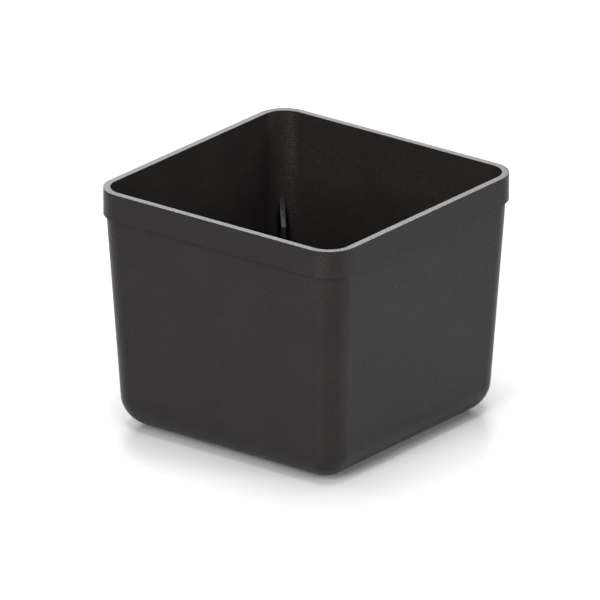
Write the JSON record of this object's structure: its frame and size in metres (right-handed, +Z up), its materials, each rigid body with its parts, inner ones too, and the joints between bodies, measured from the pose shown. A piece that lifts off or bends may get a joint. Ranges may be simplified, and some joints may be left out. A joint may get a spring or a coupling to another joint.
{
  "type": "insert bin",
  "caption": "Square open-topped insert bin with leaning walls, a rounded bottom edge, an upright rim collar and a slim rib in each inner corner.",
  "frame": {"origin": "middle of the underside, on the surface the bin stands on", "axes": "+Z up through the open top; X and Y square to the walls, with -Y the front"},
  "size_m": [0.054, 0.054, 0.045],
  "materials": {
    "bin_plastic": "black plastic, taken to be polypropylene, with a fine, even mould texture"
  },
  "bodies": {
    "root": {"base_pan": "bin_plastic", "wall_shell": "bin_plastic", "rim_collar": "bin_plastic", "corner_rib_front_left": "bin_plastic", "corner_rib_front_right": "bin_plastic", "corner_rib_back_left": "bin_plastic", "corner_rib_back_right": "bin_plastic"}
  },
  "joints": []
}
